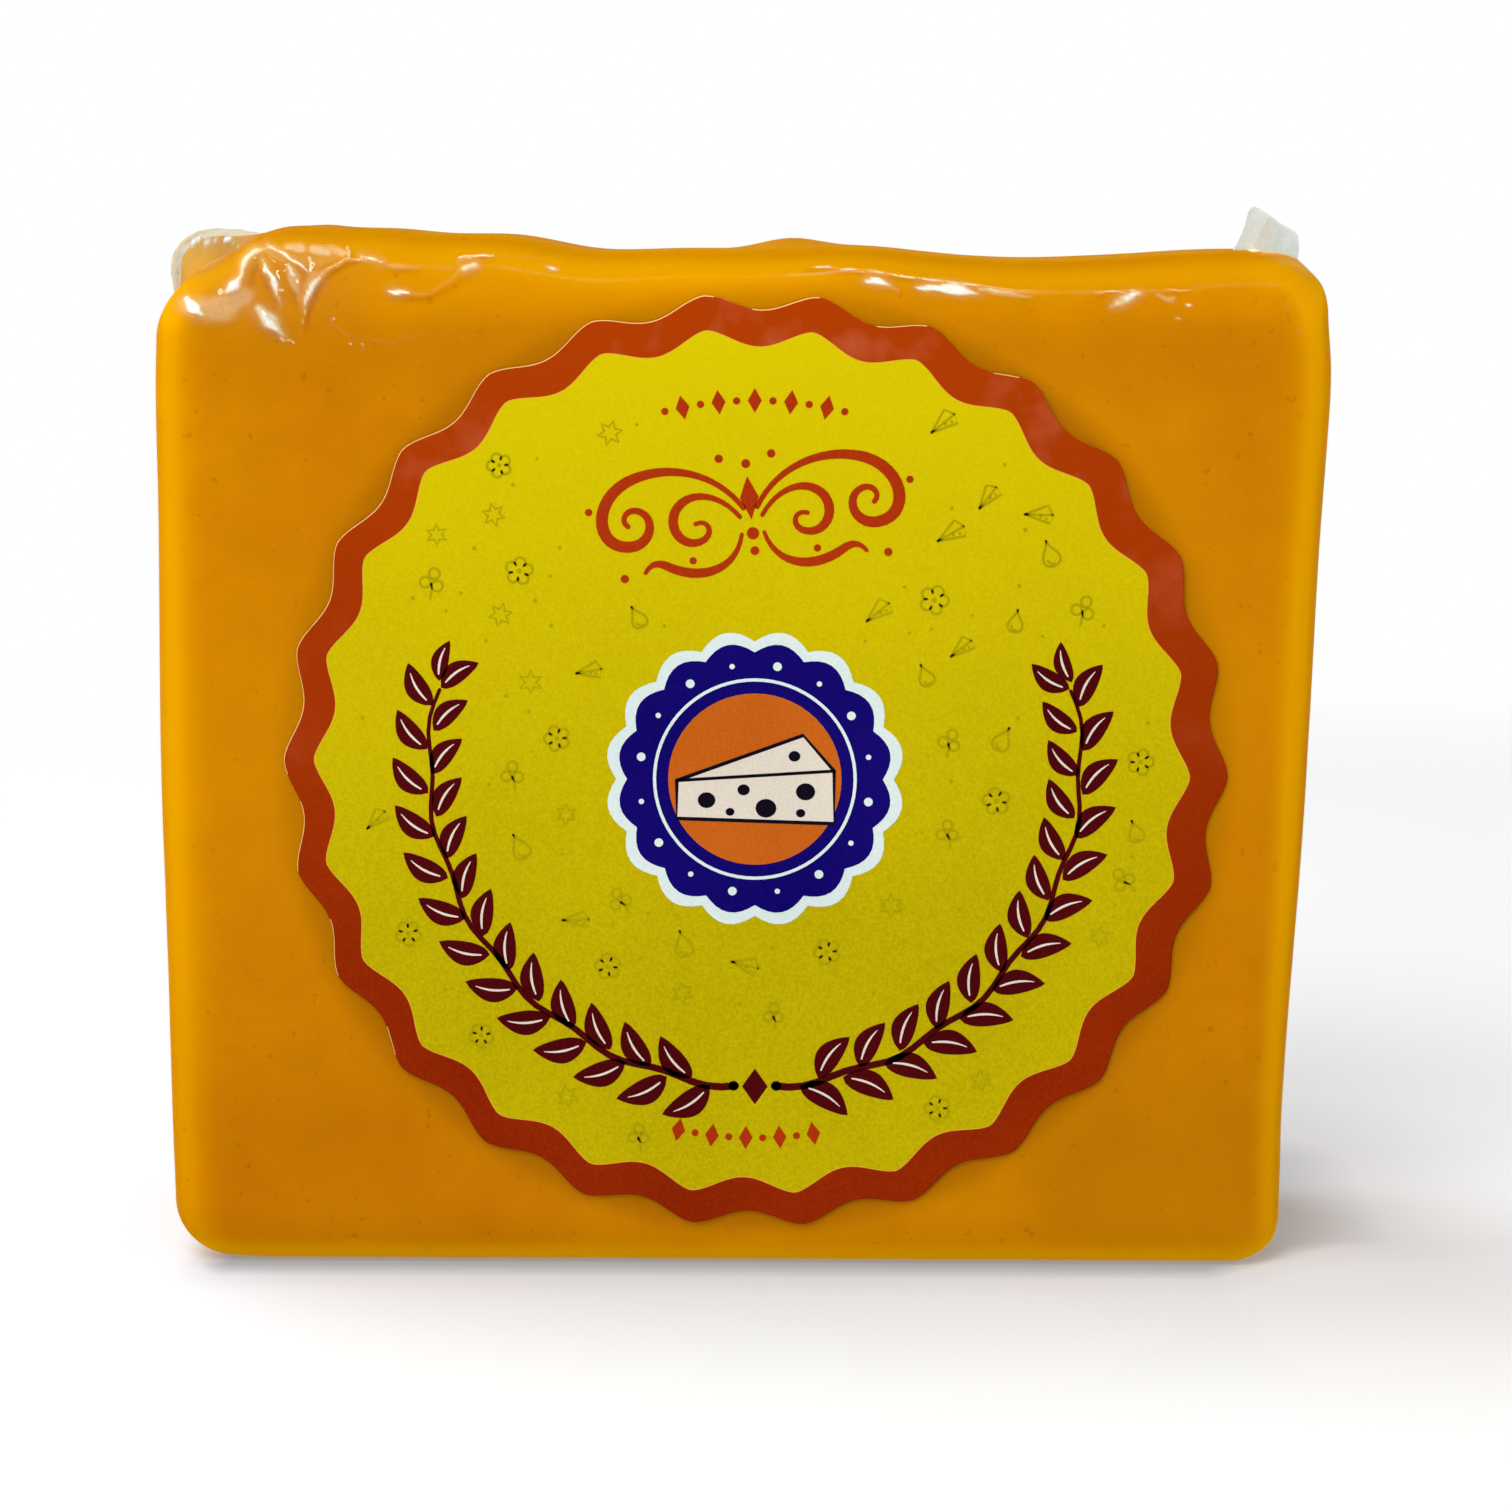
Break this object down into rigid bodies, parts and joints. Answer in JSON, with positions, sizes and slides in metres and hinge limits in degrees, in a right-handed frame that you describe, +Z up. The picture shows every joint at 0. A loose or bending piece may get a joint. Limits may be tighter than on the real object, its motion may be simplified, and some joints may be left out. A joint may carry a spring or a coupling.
{
  "type": "cheddar cheese block",
  "caption": "Small upright block of orange cheddar in shrunk clear film, with a loose film tab at the top right corner and a round scalloped paper label on its front.",
  "frame": {"origin": "under the middle of the whole, on the level of the flat that it stands on", "axes": "+X to the right along the front's long side, -Y out of the labelled front, +Z up"},
  "size_m": [0.096, 0.0276, 0.0866],
  "materials": {
    "cheddar": "waxy orange cheese seen through tight glossy clear film",
    "film": "thin clear shrink film, glossy, finely wrinkled where it gathers",
    "label": "coated paper, satin, yellow field inside an orange-red scalloped border"
  },
  "bodies": {
    "root": {"wrapped_block": "cheddar", "label": "label"}
  },
  "joints": []
}
